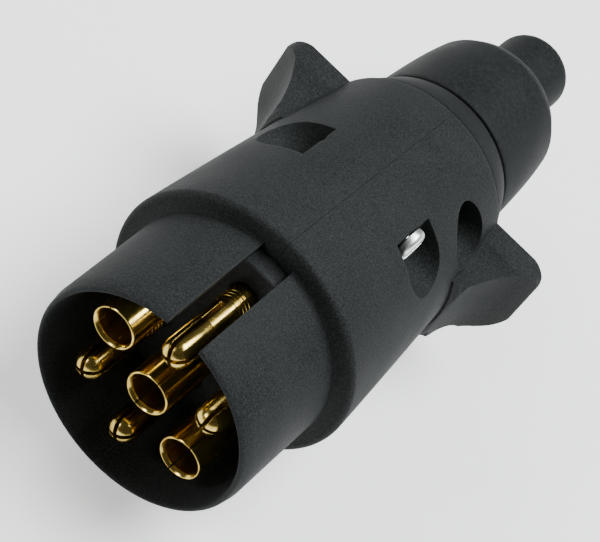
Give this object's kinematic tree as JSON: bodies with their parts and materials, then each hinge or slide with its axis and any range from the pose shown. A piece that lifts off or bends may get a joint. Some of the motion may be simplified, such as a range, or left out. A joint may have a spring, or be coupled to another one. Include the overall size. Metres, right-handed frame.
{
  "type": "trailer wiring connector",
  "caption": "Round trailer lighting plug: keyed shroud with pin and tube contacts, clamshell body with finger wings, cable clamp and rubber boot.",
  "frame": {"origin": "middle of the footprint, on the level that the collar's lowest line rests on", "axes": "+Y runs along the plug from the mating rim to the cable outlet, +Z points to the keyway, the finger wings point along +X and -X"},
  "size_m": [0.0636, 0.1274, 0.0506],
  "materials": {
    "black_nylon": "fine moulded texture, matte black glass-filled nylon",
    "insulator": "smooth satin black moulding",
    "brass": "turned and polished brass",
    "zinc_steel": "bright zinc plate",
    "black_rubber": "smooth moulded rubber with a soft sheen"
  },
  "bodies": {
    "plug": {"housing_left": "black_nylon", "contact_carrier": "insulator", "carrier_backplate": "insulator", "pin_contact_top": "brass", "socket_contact_upper_left": "brass", "pin_contact_left": "brass", "pin_contact_bottom": "brass", "socket_contact_lower_right": "brass", "pin_contact_right": "brass", "socket_contact_centre": "brass", "housing_nut_upper": "zinc_steel", "housing_nut_lower": "zinc_steel", "cable_clamp_base": "black_nylon"},
    "cover": {"housing_right": "black_nylon"},
    "boot": {"cable_boot": "black_rubber", "retaining_ring": "black_nylon"},
    "clamp_saddle": {"cable_clamp_saddle": "black_nylon"},
    "clamp_screw_left": {"cable_clamp_screw_left": "zinc_steel"},
    "clamp_screw_right": {"cable_clamp_screw_right": "zinc_steel"},
    "terminal_screw_top": {"terminal_screw_top": "zinc_steel"},
    "terminal_screw_upper_left": {"terminal_screw_upper_left": "zinc_steel"},
    "terminal_screw_left": {"terminal_screw_left": "zinc_steel"},
    "terminal_screw_bottom": {"terminal_screw_bottom": "zinc_steel"},
    "terminal_screw_lower_right": {"terminal_screw_lower_right": "zinc_steel"},
    "terminal_screw_right": {"terminal_screw_right": "zinc_steel"},
    "terminal_screw_centre": {"terminal_screw_centre": "zinc_steel"},
    "housing_screw_front_upper": {"housing_screw_front_upper": "zinc_steel"},
    "housing_screw_front_lower": {"housing_screw_front_lower": "zinc_steel"},
    "housing_screw_rear_upper": {"housing_screw_rear_upper": "zinc_steel"},
    "housing_screw_rear_lower": {"housing_screw_rear_lower": "zinc_steel"}
  },
  "joints": [
    {"name": "cover_lift", "type": "slide", "parent": "plug", "child": "cover", "axis": [1, 0, 0], "range_m": [0, 0.03]},
    {"name": "boot_pull", "type": "slide", "parent": "plug", "child": "boot", "axis": [0, 1, 0], "range_m": [0, 0.03]},
    {"name": "clamp_close", "type": "slide", "parent": "plug", "child": "clamp_saddle", "axis": [0, 0, -1], "range_m": [0, 0.003]},
    {"name": "clamp_screw_left_turn", "type": "hinge", "parent": "clamp_saddle", "child": "clamp_screw_left", "pos_m": [-0.0115, -0.0072, 0.03222], "axis": [0, 0, -1], "range_deg": [0, 900]},
    {"name": "clamp_screw_right_turn", "type": "hinge", "parent": "clamp_saddle", "child": "clamp_screw_right", "pos_m": [0.0115, -0.0072, 0.03222], "axis": [0, 0, -1], "range_deg": [0, 900]},
    {"name": "terminal_screw_top_turn", "type": "hinge", "parent": "plug", "child": "terminal_screw_top", "pos_m": [0, -0.0242, 0.04122], "axis": [0, 0, 1], "range_deg": [0, 1080]},
    {"name": "terminal_screw_upper_left_turn", "type": "hinge", "parent": "plug", "child": "terminal_screw_upper_left", "pos_m": [-0.01377, -0.0242, 0.03327], "axis": [-0.866, 0, 0.5], "range_deg": [0, 1080]},
    {"name": "terminal_screw_left_turn", "type": "hinge", "parent": "plug", "child": "terminal_screw_left", "pos_m": [-0.01377, -0.0242, 0.01737], "axis": [-0.866, 0, -0.5], "range_deg": [0, 1080]},
    {"name": "terminal_screw_bottom_turn", "type": "hinge", "parent": "plug", "child": "terminal_screw_bottom", "pos_m": [0, -0.0242, 0.00942], "axis": [0, 0, -1], "range_deg": [0, 1080]},
    {"name": "terminal_screw_lower_right_turn", "type": "hinge", "parent": "plug", "child": "terminal_screw_lower_right", "pos_m": [0.01377, -0.0242, 0.01737], "axis": [0.866, 0, -0.5], "range_deg": [0, 1080]},
    {"name": "terminal_screw_right_turn", "type": "hinge", "parent": "plug", "child": "terminal_screw_right", "pos_m": [0.01377, -0.0242, 0.03327], "axis": [0.866, 0, 0.5], "range_deg": [0, 1080]},
    {"name": "terminal_screw_centre_turn", "type": "hinge", "parent": "plug", "child": "terminal_screw_centre", "pos_m": [0, -0.0162, 0.02882], "axis": [0, 0, 1], "range_deg": [0, 1080]},
    {"name": "housing_screw_front_upper_turn", "type": "hinge", "parent": "cover", "child": "housing_screw_front_upper", "pos_m": [0.0113, -0.0129, 0.04292], "axis": [1, 0, 0], "range_deg": [0, 2160]},
    {"name": "housing_screw_front_lower_turn", "type": "hinge", "parent": "cover", "child": "housing_screw_front_lower", "pos_m": [0.0113, -0.0129, 0.00772], "axis": [1, 0, 0], "range_deg": [0, 2160]},
    {"name": "housing_screw_rear_upper_turn", "type": "hinge", "parent": "cover", "child": "housing_screw_rear_upper", "pos_m": [0.0083, 0.003, 0.03812], "axis": [1, 0, 0], "range_deg": [0, 2160]},
    {"name": "housing_screw_rear_lower_turn", "type": "hinge", "parent": "cover", "child": "housing_screw_rear_lower", "pos_m": [0.0083, 0.003, 0.01252], "axis": [1, 0, 0], "range_deg": [0, 2160]}
  ],
  "couplings": [
    {"joint": "clamp_screw_left_turn", "follows": "clamp_close", "rad_per_m": 5026.5},
    {"joint": "clamp_screw_right_turn", "follows": "clamp_close", "rad_per_m": 5026.5}
  ]
}
